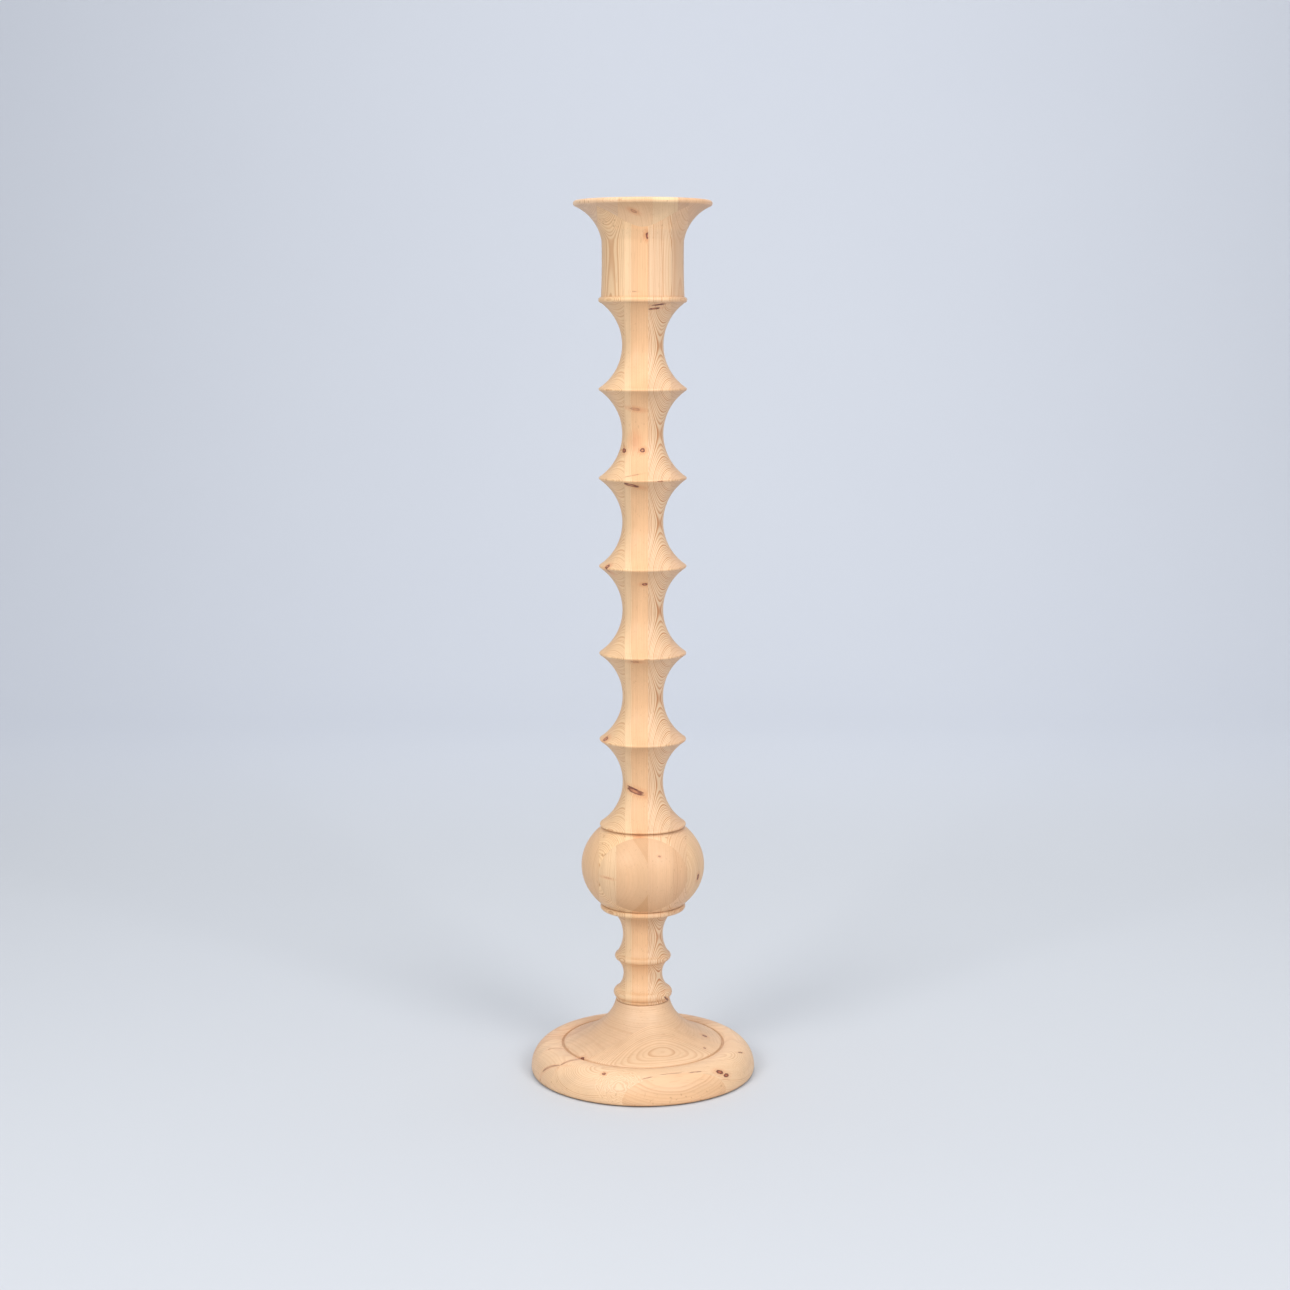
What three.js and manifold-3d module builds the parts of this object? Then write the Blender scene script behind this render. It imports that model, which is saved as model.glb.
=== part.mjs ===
// Turned pine floor candlestick, in millimetres, +Z up, standing on z = 0 with its axis on x = y = 0.
// The column is turned from one laminated blank and the base from edge-glued boards. Each strip, cheek,
// fin tip and board is a separate solid, with a glue line between it and its neighbours. The front is at -Y.
import * as THREE from "three";
import { mergeVertices } from "three/addons/utils/BufferGeometryUtils.js";
import Module from "manifold-3d";

const wasm = await Module();
wasm.setup();

// ---- Driving dimensions ----
// Glue and fits
const glueLine = 0.3; // gap between two glued faces
const tenonPlay = 0.3; // gap all round the tenon in its bore
const tenonGap = 0.5; // gap under the tenon's end
const screwPlay = 0.3; // gap round the screw in its pilot hole
const panPlay = 1.5; // gap round the candle pan in the socket
const metalPlay = 0.15; // gap between two metal faces that touch

// Base
const baseRadius = 130.5; // widest, just above the bottom edge
const hubHeight = 83.7; // top of the felt to the top of the hub
const hubTopRadius = 31.6;
const rimHeight = 32.8; // top of the outer ring above the underside
const ringWidest = 4.2; // height above the underside where the ring is widest
const edgeTuck = 0.9; // how far the bottom edge is rounded in
const grooveRadius = 93.5; // ring groove between the hub and the outer ring
const grooveWidth = 3.2;
const grooveDepth = 3;
const crownOutside = 10; // the outer ring is highest this far outside the groove
const feltThickness = 1.5;
const feltMargin = 9; // bare wood outside the felt

// The base's boards
const boardTurn = THREE.MathUtils.degToRad(18); // glue faces turned from the front to the right
const middleBoardWidth = 74;
const middleBoardFront = 41; // its front face, in front of the axis
const frontBoardDepth = 15.5; // what the outermost boards take of the base's edge
const backBoardDepth = 23.5;

// Column, heights counted up from the part below
const footBeadRise = 9.3; // hub top to the foot bead
const footBeadRadius = 34;
const stemBeadRise = 42; // foot bead to the stem bead
const stemBeadRadius = 32.4;
const collarRise = 61; // stem bead to the collar under the ball
const collarRadius = 49.2;
const ballRise = 48.5; // collar to the ball's centre
const ballRadius = 71;
const ballHalfHeight = 60.6; // the ball is a little flat
const skirtRise = 48.3; // ball's centre to the skirt's edge
const finPitch = 99.7; // edge to edge, from the skirt up
const coveCount = 6;
const lastCoveLoss = 2.6; // the hollow under the cup is this much shorter
const finRadius = 49.6;
const finEdge = 3.4; // height of a fin's blunt edge
const finRounding = 1.1;
const waistRadius = 23.2;
const neckRadius = 22.6; // between the two beads

// Cup
const cupHeight = 110.1; // collar to the top of the rim
const socketRadius = 38.5; // its pan takes a 70 mm pillar candle
const socketFloor = 15.6; // height of the socket's floor above the collar
const mouthHeight = 42; // rounded way in, above the straight socket
const cupWall = 7.3;
const collarStandout = 3.7; // collar bead outside the cup
const collarBead = 4.8; // its height
const flareHeight = 44; // the part of the cup that opens to the rim
const rimRadius = 77.4;
const rimEdge = 6; // thickness of the rounded rim

// Laminations
const turningAllowance = 0.4; // blank left outside the widest fin or collar
const centreFace = 6; // glue face between the two halves, right of the axis
const midLeftWidth = 26.5; // strips on both sides of the centre face
const midRightWidth = 25.5;
const ballEdgeStrips = [20, 16]; // outermost left and right strips of the cheeks on the ball
const rimCentreFace = 11;
const rimEdgeStrips = [23, 12]; // and on the rim

// Tenon, screw and washer
const tenonRadius = 16;
const tenonChamfer = 1.5;
const seatWood = 9.2; // wood between the bore's floor and the counterbore
const counterboreRadius = 14;
const counterboreDepth = 14;
const screwHole = 4.5; // radius through the base and the washer
const screwRadius = 4;
const screwLength = 60;
const screwPoint = 6;
const screwHeadWidth = 13; // across the flats
const screwHeadHeight = 5.5;
const washerRadius = 12;
const washerThickness = 2;

// Candle pan and its spike
const panWall = 1.2;
const panHeight = 14;
const panRounding = 3;
const bossRadius = 9; // raised middle that clears the spike's rivet
const bossRise = 3.2;
const bossSlope = 4;
const spikeRadius = 3.4;
const spikeHeight = 32;
const flangeRadius = 6.5;
const flangeThickness = 1.6;
const rivetRadius = 2.2;
const rivetHeadRadius = 4;
const rivetHeadHeight = 1.4;

// How finely round shapes are divided
const columnSides = 32;
const baseSides = 40;
const smallSides = 20;
const arcStep = 14; // length of outline between two points on an arc

// ---- Sizes worked out from the dimensions ----
const underside = feltThickness + glueLine;
const hubTop = feltThickness + hubHeight;
const footZ = hubTop + glueLine;
const footBeadZ = hubTop + footBeadRise;
const stemBeadZ = footBeadZ + stemBeadRise;
const collarZ = stemBeadZ + collarRise;
const ballZ = collarZ + ballRise;
const skirtZ = ballZ + skirtRise;
const cupCollarZ = skirtZ + coveCount * finPitch - lastCoveLoss;
const rimZ = cupCollarZ + cupHeight;
const socketZ = cupCollarZ + socketFloor;
const counterboreTop = underside + counterboreDepth;
const boreFloor = counterboreTop + seatWood;
const tenonEnd = boreFloor + tenonGap;
const screwSeat = counterboreTop - glueLine - washerThickness - metalPlay;
const screwTip = screwSeat + screwLength;
const cupRadius = socketRadius + cupWall;
const cupCollarRadius = cupRadius + collarStandout;
const coreHalf = Math.max(finRadius, collarRadius, cupCollarRadius) + turningAllowance;
const reach = 2 * (rimRadius + ballRadius + baseRadius); // wider than any piece
const above = rimZ + finPitch; // higher than any piece

// ---- Materials ----
const pine = (color) => new THREE.MeshStandardMaterial({ color, roughness: 0.6, metalness: 0 });
const palePine = pine(0xf3d3a6);
const warmPine = pine(0xe9bd8b);
const brownPine = pine(0xd9a878);
const steel = new THREE.MeshStandardMaterial({ color: 0xb9bcc0, roughness: 0.4, metalness: 1 });
const brass = new THREE.MeshStandardMaterial({ color: 0xc9a24e, roughness: 0.35, metalness: 1 });
const felt = new THREE.MeshStandardMaterial({ color: 0x6a5f4c, roughness: 1, metalness: 0 });

// ---- Making and cutting solids ----
function solidOf(geometry) {
  const bare = geometry.index ? geometry.toNonIndexed() : geometry.clone();
  bare.deleteAttribute("normal");
  bare.deleteAttribute("uv");
  const merged = mergeVertices(bare, 1e-4);
  return new wasm.Manifold(
    new wasm.Mesh({
      numProp: 3,
      vertProperties: merged.attributes.position.array,
      triVerts: new Uint32Array(merged.index.array),
    }),
  );
}

function meshOf(name, solid, material) {
  const made = solid.getMesh();
  const geometry = new THREE.BufferGeometry();
  geometry.setAttribute("position", new THREE.BufferAttribute(made.vertProperties, 3));
  geometry.setIndex(new THREE.BufferAttribute(made.triVerts, 1));
  geometry.computeVertexNormals();
  const mesh = new THREE.Mesh(geometry, material);
  mesh.name = name;
  return mesh;
}

// Turns an outline of radius and height about the upright axis. The outline runs upwards on its outer side.
function turned(points, sides) {
  return solidOf(new THREE.LatheGeometry(points, sides).rotateX(Math.PI / 2));
}

const cornersOf = (pairs) => pairs.map(([radius, height]) => new THREE.Vector2(radius, height));

// The points of a path: one to each straight end, and one about every arcStep along a curve.
function outlineOf(path) {
  const points = [path.curves[0].getPoint(0)];
  for (const curve of path.curves) {
    const steps = curve.isLineCurve ? 1 : Math.max(3, Math.round(curve.getLength() / arcStep));
    const next = curve.getPoints(steps).slice(1);
    points.push(...next.filter((p) => p.distanceTo(points.at(-1)) > glueLine / 10));
  }
  return points;
}

// Continues a path along the circle through its last point, middle and end.
function arcThrough(path, middle, end) {
  const a = path.currentPoint.clone();
  const [b, c] = cornersOf([middle, end]);
  const twiceArea = 2 * ((b.x - a.x) * (c.y - a.y) - (c.x - a.x) * (b.y - a.y));
  const ab = b.lengthSq() - a.lengthSq();
  const ac = c.lengthSq() - a.lengthSq();
  const x = ((c.y - a.y) * ab - (b.y - a.y) * ac) / twiceArea;
  const y = ((b.x - a.x) * ac - (c.x - a.x) * ab) / twiceArea;
  const angle = (p) => Math.atan2(p.y - y, p.x - x);
  path.absarc(x, y, Math.hypot(a.x - x, a.y - y), angle(a), angle(c), twiceArea < 0);
}

// A box between two corners.
function block([x0, y0, z0], [x1, y1, z1]) {
  const box = new THREE.BoxGeometry(x1 - x0, y1 - y0, z1 - z0);
  return box.translate((x0 + x1) / 2, (y0 + y1) / 2, (z0 + z1) / 2);
}

// Cuts one piece out of a turned shape, between glue faces: half a glue line is taken off each side.
function cutOut(shape, low, high, turn = 0) {
  const half = glueLine / 2;
  const cutter = block(
    low.map((v) => v + half),
    high.map((v) => v - half),
  );
  return shape.intersect(solidOf(cutter.rotateZ(turn)));
}

// ---- Column outline: each function carries it on from where the one before left it ----
function drawTenon(path) {
  const pilotRadius = screwRadius + screwPlay;
  path.moveTo(0, screwTip + screwPlay * 5);
  path.lineTo(pilotRadius, screwTip - screwPoint);
  path.lineTo(pilotRadius, tenonEnd);
  path.lineTo(tenonRadius - tenonChamfer, tenonEnd);
  path.lineTo(tenonRadius, tenonEnd + tenonChamfer);
  path.lineTo(tenonRadius, footZ);
}

// The foot with its bead, the neck, the stem bead and the lowest cove.
function drawStem(path) {
  const footRadius = footBeadRadius - 3.2;
  path.lineTo(footRadius, footZ);
  path.lineTo(footRadius + 0.4, footZ + 3.5);
  arcThrough(path, [footBeadRadius, footBeadZ], [footRadius - 1.3, footBeadZ + 5.1]);
  const neckZ = (footBeadZ + stemBeadZ) / 2 + 2.6;
  arcThrough(path, [neckRadius, neckZ], [stemBeadRadius - 2.9, stemBeadZ - 2.9]);
  arcThrough(path, [stemBeadRadius, stemBeadZ], [stemBeadRadius - 2.6, stemBeadZ + 4.9]);
  const coveZ = stemBeadZ + 29.5;
  arcThrough(path, [waistRadius, coveZ], [collarRadius - 15.7, collarZ - 7.3]);
}

function drawBall(path) {
  const collarTop = collarZ + 2.6;
  path.lineTo(collarRadius - 4.2, collarZ - 3.5);
  arcThrough(path, [collarRadius, collarZ], [collarRadius - 2.2, collarTop]);
  const lowest = Math.asin((collarTop - ballZ) / ballHalfHeight);
  const highest = Math.asin((skirtZ - finEdge / 2 - ballZ) / ballHalfHeight);
  path.absellipse(0, ballZ, ballRadius, ballHalfHeight, lowest, highest, false);
}

// A cove is the hollow between two fins: one arc through the waist.
function drawShaft(path) {
  const edge = finRadius - finRounding;
  path.lineTo(edge, skirtZ - finEdge / 2);
  path.lineTo(finRadius, skirtZ - finEdge / 4);
  for (let i = 0; i < coveCount; i++) {
    const finZ = skirtZ + i * finPitch;
    const last = i === coveCount - 1;
    const nextZ = last ? cupCollarZ : finZ + finPitch;
    const topRadius = last ? cupRadius + 0.9 : edge;
    path.lineTo(finRadius, finZ + finEdge / 4);
    path.lineTo(edge, finZ + finEdge / 2);
    arcThrough(path, [waistRadius, (finZ + nextZ) / 2], [topRadius, nextZ - finEdge / 2]);
    if (!last) path.lineTo(finRadius, nextZ - finEdge / 4);
  }
}

// The collar bead, the cup's side, the flare, the rounded rim and the socket inside.
function drawCup(path) {
  arcThrough(path, [cupCollarRadius, cupCollarZ + 0.8], [cupRadius + 0.8, cupCollarZ + collarBead]);
  const flareZ = rimZ - flareHeight;
  const sideZ = (cupCollarZ + flareZ) / 2;
  arcThrough(path, [cupRadius - 0.1, sideZ], [cupRadius, flareZ]);
  const rimFoot = [rimRadius - 1.4, rimZ - rimEdge + 0.2];
  const flareMiddle = [cupRadius + 0.42 * (rimFoot[0] - cupRadius), flareZ + 0.68 * (rimFoot[1] - flareZ)];
  arcThrough(path, flareMiddle, rimFoot);
  arcThrough(path, [rimRadius, rimZ - rimEdge / 2], [rimRadius - rimEdge / 2, rimZ]);
  const lip = rimRadius - rimEdge;
  path.lineTo(lip + 0.6, rimZ - 0.5);
  const mouthMiddle = [socketRadius + 0.36 * (lip - socketRadius), rimZ - 0.42 * mouthHeight];
  arcThrough(path, mouthMiddle, [socketRadius, rimZ - mouthHeight]);
  path.lineTo(socketRadius, socketZ);
  path.lineTo(0, socketZ);
}

function columnBlank() {
  const path = new THREE.Path();
  drawTenon(path);
  drawStem(path);
  drawBall(path);
  drawShaft(path);
  drawCup(path);
  return turned(outlineOf(path), columnSides);
}

// ---- The column's pieces ----
// Four long strips. The right one is left only where the column is wide enough to reach it: in the ball, in
// the cup and in the tip of each fin. The stem's beads are too narrow for it, and belong to the strip beside.
function columnStrips(blank) {
  const leftFace = centreFace - midLeftWidth;
  const rightFace = centreFace + midRightWidth;
  const [near, far] = [-coreHalf, coreHalf];
  const stemTop = (stemBeadZ + collarZ) / 2;
  const right = (z0, z1) => cutOut(blank, [rightFace, near, z0], [far, far, z1]);
  const besideRight = block([rightFace - glueLine / 2, -reach, stemTop], [reach, reach, above]);
  const midRight = cutOut(blank, [centreFace, near, 0], [far, far, above]).subtract(solidOf(besideRight));
  const pieces = [
    ["column_strip_left", cutOut(blank, [near, near, 0], [leftFace, far, above]), palePine],
    ["column_strip_mid_left", cutOut(blank, [leftFace, near, 0], [centreFace, far, above]), warmPine],
    ["column_strip_mid_right", midRight, palePine],
    ["ball_strip_right", right(stemTop, skirtZ + finPitch / 2), brownPine],
    ["cup_strip_right", right(cupCollarZ - finPitch / 2, above), brownPine],
  ];
  for (let i = 1; i < coveCount; i++) {
    const finZ = skirtZ + i * finPitch;
    pieces.push([`fin_tip_right_${i}`, right(finZ - finPitch / 2, finZ + finPitch / 2), brownPine]);
  }
  return pieces;
}

// The ball and the rim are wider than the blank, so cheeks are glued on its four sides before it is turned.
// The front and back cheeks are strips too, and the outermost are as wide as edgeStrips says.
function cheeks(blank, part, radius, face, edgeStrips, z0, z1) {
  const half = Math.min(coreHalf, Math.sqrt(radius ** 2 - coreHalf ** 2));
  const pieces = [
    [`${part}_cheek_left`, cutOut(blank, [-reach, -reach, z0], [-coreHalf, reach, z1]), warmPine],
    [`${part}_cheek_right`, cutOut(blank, [coreHalf, -reach, z0], [reach, reach, z1]), brownPine],
  ];
  const faces = [-coreHalf, edgeStrips[0] - half, face, half - edgeStrips[1], coreHalf];
  const tones = [warmPine, palePine, palePine, brownPine];
  tones.forEach((tone, i) => {
    const front = cutOut(blank, [faces[i], -reach, z0], [faces[i + 1], -coreHalf, z1]);
    const back = cutOut(blank, [faces[i], coreHalf, z0], [faces[i + 1], reach, z1]);
    pieces.push([`${part}_front_strip_${i + 1}`, front, tone]);
    pieces.push([`${part}_back_strip_${i + 1}`, back, tone]);
  });
  return pieces;
}

// ---- Base ----
function baseBlank() {
  const path = new THREE.Path();
  const bore = tenonRadius + tenonPlay;
  const ringTop = underside + rimHeight;
  const widestZ = underside + ringWidest;
  const tuckAcross = 8;
  const tuckDown = ringWidest / Math.sqrt(1 - (1 - edgeTuck / tuckAcross) ** 2);
  path.moveTo(counterboreRadius, underside);
  path.lineTo(baseRadius - edgeTuck, underside);
  const tuckStart = -Math.asin(ringWidest / tuckDown);
  path.absellipse(baseRadius - tuckAcross, widestZ, tuckAcross, tuckDown, tuckStart, 0, false);
  const crown = grooveRadius + crownOutside;
  const grooveEdge = grooveRadius + grooveWidth / 2;
  const crownHeight = ringTop - widestZ;
  const crownEnd = Math.acos((grooveEdge - crown) / (baseRadius - crown));
  path.absellipse(crown, widestZ, baseRadius - crown, crownHeight, 0, crownEnd, false);
  path.lineTo(grooveRadius + grooveWidth / 4, ringTop - grooveDepth);
  path.lineTo(grooveRadius - grooveWidth / 4, ringTop - grooveDepth);
  path.lineTo(grooveRadius - grooveWidth / 2, ringTop - 0.6);
  const lowBend = [hubTopRadius + 27, ringTop + 11.5];
  const highBend = [hubTopRadius + 5, hubTop - 22];
  path.bezierCurveTo(...lowBend, ...highBend, hubTopRadius, hubTop);
  path.lineTo(bore, hubTop);
  path.lineTo(bore, boreFloor);
  path.lineTo(screwHole, boreFloor);
  path.lineTo(screwHole, counterboreTop);
  path.lineTo(counterboreRadius, counterboreTop);
  path.lineTo(counterboreRadius, underside);
  return turned(outlineOf(path), baseSides);
}

// The edge-glued boards, from the front one to the back one.
function baseBoards(blank) {
  const faces = [
    -reach,
    frontBoardDepth - baseRadius,
    -middleBoardFront,
    middleBoardWidth - middleBoardFront,
    baseRadius - backBoardDepth,
    reach,
  ];
  const boards = [
    ["front", warmPine],
    ["front_mid", palePine],
    ["middle", palePine],
    ["back_mid", warmPine],
    ["back", palePine],
  ];
  return boards.map(([name, tone], i) => {
    const board = cutOut(blank, [-reach, faces[i], 0], [reach, faces[i + 1], above], boardTurn);
    return [`base_board_${name}`, board, tone];
  });
}

function feltDisc() {
  const radius = baseRadius - feltMargin;
  const disc = new THREE.CylinderGeometry(radius, radius, feltThickness, baseSides);
  return solidOf(disc.rotateX(Math.PI / 2).translate(0, 0, feltThickness / 2));
}

// ---- Screw and washer, up into the tenon from under the base ----
function lagScrew() {
  const headRadius = screwHeadWidth / Math.sqrt(3);
  const head = new THREE.CylinderGeometry(headRadius, headRadius, screwHeadHeight, 6);
  head.rotateX(Math.PI / 2).translate(0, 0, screwSeat - screwHeadHeight / 2);
  const shank = cornersOf([
    [0, screwSeat - screwHeadHeight / 2],
    [screwRadius, screwSeat - screwHeadHeight / 2],
    [screwRadius, screwTip - screwPoint],
    [0, screwTip],
  ]);
  return solidOf(head).add(turned(shank, smallSides));
}

function washer() {
  const top = counterboreTop - glueLine;
  const bottom = top - washerThickness;
  const ring = cornersOf([
    [screwHole, bottom],
    [washerRadius, bottom],
    [washerRadius, top],
    [screwHole, top],
    [screwHole, bottom],
  ]);
  return turned(ring, smallSides);
}

// ---- Candle pan and spike, riveted together, which lift out of the socket ----
const panZ = socketZ + glueLine;
const panFloor = panZ + panWall;
const panRadius = socketRadius - panPlay;

function candlePan() {
  const path = new THREE.Path();
  const hole = rivetRadius + metalPlay;
  const inner = panRadius - panWall;
  path.moveTo(hole, panZ + bossRise);
  path.lineTo(bossRadius, panZ + bossRise);
  path.lineTo(bossRadius + bossSlope, panZ);
  path.lineTo(panRadius - panRounding, panZ);
  arcThrough(path, [panRadius - 0.3 * panRounding, panZ + 0.3 * panRounding], [panRadius, panZ + panRounding]);
  path.lineTo(panRadius, panZ + panHeight);
  path.lineTo(inner, panZ + panHeight);
  path.lineTo(inner, panZ + panRounding);
  path.lineTo(panRadius - panRounding, panFloor);
  path.lineTo(bossRadius + bossSlope, panFloor);
  path.lineTo(bossRadius, panFloor + bossRise);
  path.lineTo(hole, panFloor + bossRise);
  path.lineTo(hole, panZ + bossRise);
  return turned(outlineOf(path), columnSides);
}

function candleSpike() {
  const bossTop = panFloor + bossRise + metalPlay;
  const bossUnder = panZ + bossRise - metalPlay;
  const flangeTop = bossTop + flangeThickness;
  const outline = cornersOf([
    [0, bossUnder - rivetHeadHeight],
    [rivetHeadRadius, bossUnder - rivetHeadHeight],
    [rivetHeadRadius, bossUnder],
    [rivetRadius, bossUnder],
    [rivetRadius, bossTop],
    [flangeRadius, bossTop],
    [flangeRadius, flangeTop],
    [spikeRadius, flangeTop],
    [0, flangeTop + spikeHeight],
  ]);
  return turned(outline, smallSides);
}

// ---- The whole candlestick ----
const column = columnBlank();
const underBall = (stemBeadZ + collarZ) / 2;
const midShaft = (skirtZ + cupCollarZ) / 2;
const pieces = [
  ["felt_disc", feltDisc(), felt],
  ...baseBoards(baseBlank()),
  ["washer", washer(), steel],
  ["lag_screw", lagScrew(), steel],
  ...columnStrips(column),
  ...cheeks(column, "ball", ballRadius, centreFace, ballEdgeStrips, underBall, midShaft),
  ...cheeks(column, "rim", rimRadius, rimCentreFace, rimEdgeStrips, midShaft, above),
  ["candle_pan", candlePan(), brass],
  ["candle_spike", candleSpike(), brass],
];

const candlestick = new THREE.Group();
candlestick.name = "candlestick";
for (const [name, solid, material] of pieces) candlestick.add(meshOf(name, solid, material));

export default candlestick;
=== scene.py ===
"""A tall turned pine candlestick, glued up from strips, on a pale studio floor.

Metres, +Z up, front at -Y. The wood is drawn in millimetres from the axis and the floor.
"""

import math

import bmesh
import bpy
from mathutils import Matrix, Vector
from mathutils.geometry import interpolate_bezier


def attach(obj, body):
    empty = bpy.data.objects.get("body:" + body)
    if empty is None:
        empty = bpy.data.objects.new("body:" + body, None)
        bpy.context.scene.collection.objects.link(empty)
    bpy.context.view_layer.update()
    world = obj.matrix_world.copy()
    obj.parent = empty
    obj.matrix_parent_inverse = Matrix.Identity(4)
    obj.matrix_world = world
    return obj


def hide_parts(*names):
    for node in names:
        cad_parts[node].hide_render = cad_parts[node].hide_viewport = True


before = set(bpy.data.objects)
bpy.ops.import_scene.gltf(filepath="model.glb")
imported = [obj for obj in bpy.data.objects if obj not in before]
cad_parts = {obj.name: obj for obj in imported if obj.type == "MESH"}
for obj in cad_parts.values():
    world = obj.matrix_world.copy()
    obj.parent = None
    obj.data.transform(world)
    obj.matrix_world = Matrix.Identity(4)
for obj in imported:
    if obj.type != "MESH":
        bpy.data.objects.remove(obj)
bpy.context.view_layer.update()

# ---- Base ----
# Five pine boards, glued edge to edge with their faces turned a little to the right, then turned as one
# blank on a faceplate: a trumpet-shaped hub, a ring groove and a rounded outer ring. The hub is bored for
# the column's tenon, and the underside is counterbored for the screw that holds it.
MM = 0.001
BOARD_TURN = math.radians(18)
BOARD_FACES = (-131, -115, -41, 33, 107, 131)
BORE = 16.3
SCREW_HOLE = 4.5
COUNTERBORE = 14
COUNTERBORE_FLOOR = 15.8
UNDERSIDE = 1.8  # the felt is below it
KERF = 0.03  # what is left open at each glued face
CRISP = math.radians(32)  # edges sharper than this stay sharp in the shading


def start(radius, height):
    """Starts a turning outline at one point. The lines and arcs that follow are added to its end."""
    shape = bmesh.new()
    shape.verts.new((radius * MM, 0, height * MM))
    return shape


def line(shape, *places):
    """Carries an outline on to each (radius, height) in turn."""
    for radius, height in places:
        shape.verts.ensure_lookup_table()
        end = bmesh.ops.extrude_vert_indiv(shape, verts=[shape.verts[-1]])["verts"][0]
        end.co = (radius * MM, 0, height * MM)


def sweep(shape, centre, angle, step):
    """Swings the outline's last point round a centre, anticlockwise as drawn, leaving an arc behind it."""
    shape.verts.ensure_lookup_table()
    last = shape.verts[-1]
    pivot = Vector((centre[0], 0, centre[1]))
    length = (last.co - pivot).length * abs(angle)
    bmesh.ops.spin(
        shape,
        geom=[last],
        cent=pivot,
        axis=(0, -1, 0),
        angle=angle,
        steps=max(4, math.ceil(length / (step * MM))),
        use_duplicate=False,
    )


def arc(shape, middle, end, step=2.0):
    """Carries an outline on along the circle through its last point, middle and end."""
    shape.verts.ensure_lookup_table()
    a = shape.verts[-1].co.xz
    b = Vector(middle) * MM
    c = Vector(end) * MM
    area = 2 * ((b.x - a.x) * (c.y - a.y) - (c.x - a.x) * (b.y - a.y))
    ab = b.length_squared - a.length_squared
    ac = c.length_squared - a.length_squared
    centre = Vector(((c.y - a.y) * ab - (b.y - a.y) * ac, (b.x - a.x) * ac - (c.x - a.x) * ab)) / area
    turn = math.atan2(c.y - centre.y, c.x - centre.x) - math.atan2(a.y - centre.y, a.x - centre.x)
    angle = turn % math.tau if area > 0 else turn % math.tau - math.tau
    sweep(shape, centre, angle, step)


def oval(shape, centre, across, up, first, last, step=2.0):
    """Adds part of an oval between two angles: a circular arc, squashed in height."""
    line(shape, (centre[0] + across * math.cos(first), centre[1] + across * math.sin(first)))
    drawn = len(shape.verts) - 1
    sweep(shape, Vector(centre) * MM, last - first, step)
    shape.verts.ensure_lookup_table()
    middle = Matrix.Translation((-centre[0] * MM, 0, -centre[1] * MM))
    bmesh.ops.scale(shape, vec=(1, 1, up / across), space=middle, verts=shape.verts[drawn:])


def turned(shape, sides):
    """Turns an outline about the upright axis into one closed blank."""
    bmesh.ops.remove_doubles(shape, verts=shape.verts, dist=1e-5)
    bmesh.ops.spin(
        shape,
        geom=shape.verts[:] + shape.edges[:],
        cent=(0, 0, 0),
        axis=(0, 0, 1),
        angle=math.tau,
        steps=sides,
        use_merge=True,
    )
    bmesh.ops.remove_doubles(shape, verts=shape.verts, dist=1e-6)
    bmesh.ops.recalc_face_normals(shape, faces=shape.faces)


def sawn(blank, *cuts):
    """A copy of a blank, cut along upright or level faces. Each cut is the direction that is taken off, how
    far along it the face lies, and the height that it starts above. A sawn face is closed before the next
    cut."""
    piece = blank.copy()
    for direction, distance, *above in cuts:
        outwards = Vector(direction)
        lowest = above[0] * MM if above else -1
        verts = {v for v in piece.verts if v.co.z > lowest}
        edges = [e for e in piece.edges if verts.issuperset(e.verts)]
        faces = [f for f in piece.faces if verts.issuperset(f.verts)]
        cut = bmesh.ops.bisect_plane(
            piece,
            geom=[*verts, *edges, *faces] if above else piece.verts[:] + piece.edges[:] + piece.faces[:],
            dist=1e-8,
            plane_co=outwards * (distance - KERF) * MM,
            plane_no=outwards,
            clear_outer=True,
        )
        rim = [e for e in cut["geom_cut"] if isinstance(e, bmesh.types.BMEdge)]
        if rim:
            faces = bmesh.ops.holes_fill(piece, edges=rim, sides=0)["faces"]
            bmesh.ops.triangulate(piece, faces=faces)
    return piece


def finished(name, shape, material, body, nodes):
    """Makes an object of a shape, with its sharp edges kept crisp, in place of the CAD nodes that it is."""
    bmesh.ops.remove_doubles(shape, verts=shape.verts, dist=1e-7)
    for face in shape.faces:
        face.smooth = True
    for edge in shape.edges:
        edge.smooth = len(edge.link_faces) == 2 and edge.calc_face_angle(math.pi) < CRISP
    mesh = bpy.data.meshes.new(name)
    shape.to_mesh(mesh)
    shape.free()
    mesh.materials.append(material)
    piece = bpy.data.objects.new(name, mesh)
    bpy.context.scene.collection.objects.link(piece)
    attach(piece, body)
    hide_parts(*nodes)


def colour(red, green, blue):
    """A colour as it is seen, 0 to 255, in the linear values that shaders take."""
    return tuple(((c / 255 + 0.055) / 1.055) ** 2.4 for c in (red, green, blue)) + (1.0,)


def add(tree, kind, inputs=(), **settings):
    """Adds a node to a tree, with its settings, and values or links for its sockets."""
    node = tree.nodes.new(kind)
    for key, value in settings.items():
        setattr(node, key, value)
    for key, value in dict(inputs).items():
        if isinstance(value, bpy.types.NodeSocket):
            tree.links.new(value, node.inputs[key])
        else:
            node.inputs[key].default_value = value
    return node


def calc(tree, operation, *values):
    """A Math node's result."""
    return add(tree, "ShaderNodeMath", enumerate(values), operation=operation).outputs[0]


def vector(tree, operation, *values):
    """A Vector Math node's vector result."""
    return add(tree, "ShaderNodeVectorMath", enumerate(values), operation=operation).outputs[0]


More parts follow.
